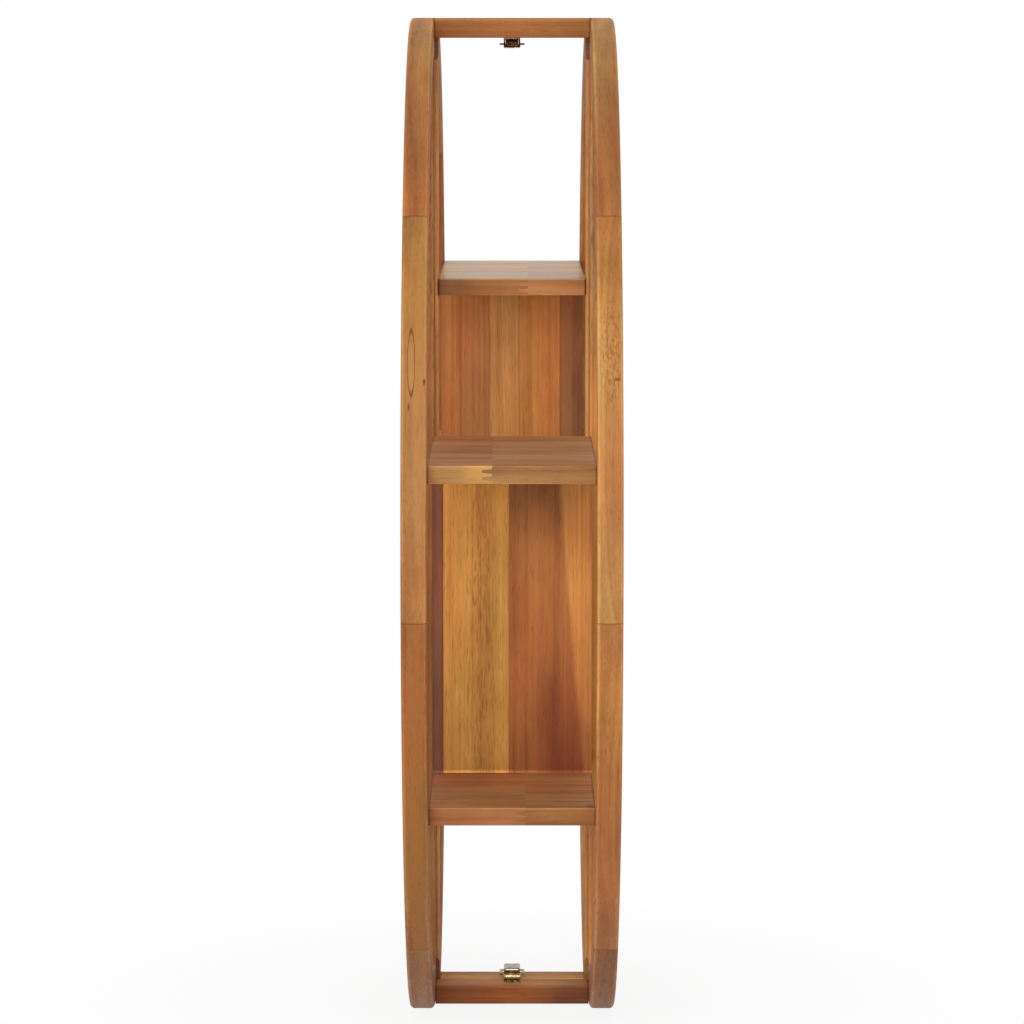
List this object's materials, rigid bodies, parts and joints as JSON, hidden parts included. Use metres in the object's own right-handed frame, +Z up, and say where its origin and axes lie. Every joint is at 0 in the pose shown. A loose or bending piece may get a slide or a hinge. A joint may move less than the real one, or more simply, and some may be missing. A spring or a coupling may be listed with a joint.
{
  "type": "round wall shelf",
  "caption": "Round teak wall shelf in two D-shaped halves with offset shelves and dividing panels, held together by brass draw latches.",
  "frame": {"origin": "centre of the ring at half its depth, on the joint plane of the halves", "axes": "+Y along the ring's axis towards the wall, +Z up, +X to the right half"},
  "size_m": [1.201, 0.244, 1.2],
  "materials": {
    "teak_arc": "satin lacquer",
    "teak_board": "satin lacquer",
    "dowel": "raw",
    "brass": "antique",
    "steel": "zinc plated"
  },
  "bodies": {
    "shelf": {"arc_dowels": "dowel", "arc_left_back_1": "teak_arc", "arc_left_back_2": "teak_arc", "arc_left_back_3": "teak_arc", "arc_left_back_4": "teak_arc", "arc_left_front_1": "teak_arc", "arc_left_front_2": "teak_arc", "arc_left_front_3": "teak_arc", "arc_left_front_4": "teak_arc", "arc_right_back_1": "teak_arc", "arc_right_back_2": "teak_arc", "arc_right_back_3": "teak_arc", "arc_right_back_4": "teak_arc", "arc_right_front_1": "teak_arc", "arc_right_front_2": "teak_arc", "arc_right_front_3": "teak_arc", "arc_right_front_4": "teak_arc", "block_dowels": "dowel", "block_left_bottom": "teak_board", "block_left_top": "teak_board", "block_right_bottom": "teak_board", "block_right_top": "teak_board", "hanger_left": "steel", "hanger_right": "steel", "hanger_screws": "steel", "latch_bottom_base": "brass", "latch_bottom_pin": "brass", "latch_bottom_screws": "brass", "latch_bottom_strike": "brass", "latch_top_base": "brass", "latch_top_pin": "brass", "latch_top_screws": "brass", "latch_top_strike": "brass", "panel_dowels": "dowel", "panel_left_stave_1": "teak_board", "panel_left_stave_2": "teak_board", "panel_left_stave_3": "teak_board", "panel_left_stave_4": "teak_board", "panel_left_stave_5": "teak_board", "panel_right_stave_1": "teak_board", "panel_right_stave_2": "teak_board", "panel_right_stave_3": "teak_board", "shelf_dowels": "dowel", "shelf_left_middle_back": "teak_board", "shelf_left_middle_front": "teak_board", "shelf_left_upper_back": "teak_board", "shelf_left_upper_front": "teak_board", "shelf_right_lower_back": "teak_board", "shelf_right_lower_front": "teak_board", "shelf_right_middle_back": "teak_board", "shelf_right_middle_front": "teak_board", "stile_dowels": "dowel", "stile_left_back": "teak_board", "stile_left_front": "teak_board", "stile_right_back": "teak_board", "stile_right_front": "teak_board"},
    "lever_top": {"latch_top_lever": "brass"},
    "bail_top": {"latch_top_bail": "brass"},
    "lever_bottom": {"latch_bottom_lever": "brass"},
    "bail_bottom": {"latch_bottom_bail": "brass"}
  },
  "joints": [
    {"name": "lever_top_turn", "type": "hinge", "parent": "shelf", "child": "lever_top", "pos_m": [0.009, 0, 0.5685], "axis": [0, 1, 0], "range_deg": [0, 95]},
    {"name": "bail_top_turn", "type": "hinge", "parent": "lever_top", "child": "bail_top", "pos_m": [0.017, 0, 0.5685], "axis": [0, 1, 0], "range_deg": [-95, 0]},
    {"name": "lever_bottom_turn", "type": "hinge", "parent": "shelf", "child": "lever_bottom", "pos_m": [-0.009, 0, -0.5685], "axis": [0, 1, 0], "range_deg": [0, 95]},
    {"name": "bail_bottom_turn", "type": "hinge", "parent": "lever_bottom", "child": "bail_bottom", "pos_m": [-0.017, 0, -0.5685], "axis": [0, 1, 0], "range_deg": [-95, 0]}
  ],
  "couplings": [
    {"joint": "bail_top_turn", "follows": "lever_top_turn", "ratio": -1},
    {"joint": "bail_bottom_turn", "follows": "lever_bottom_turn", "ratio": -1}
  ]
}
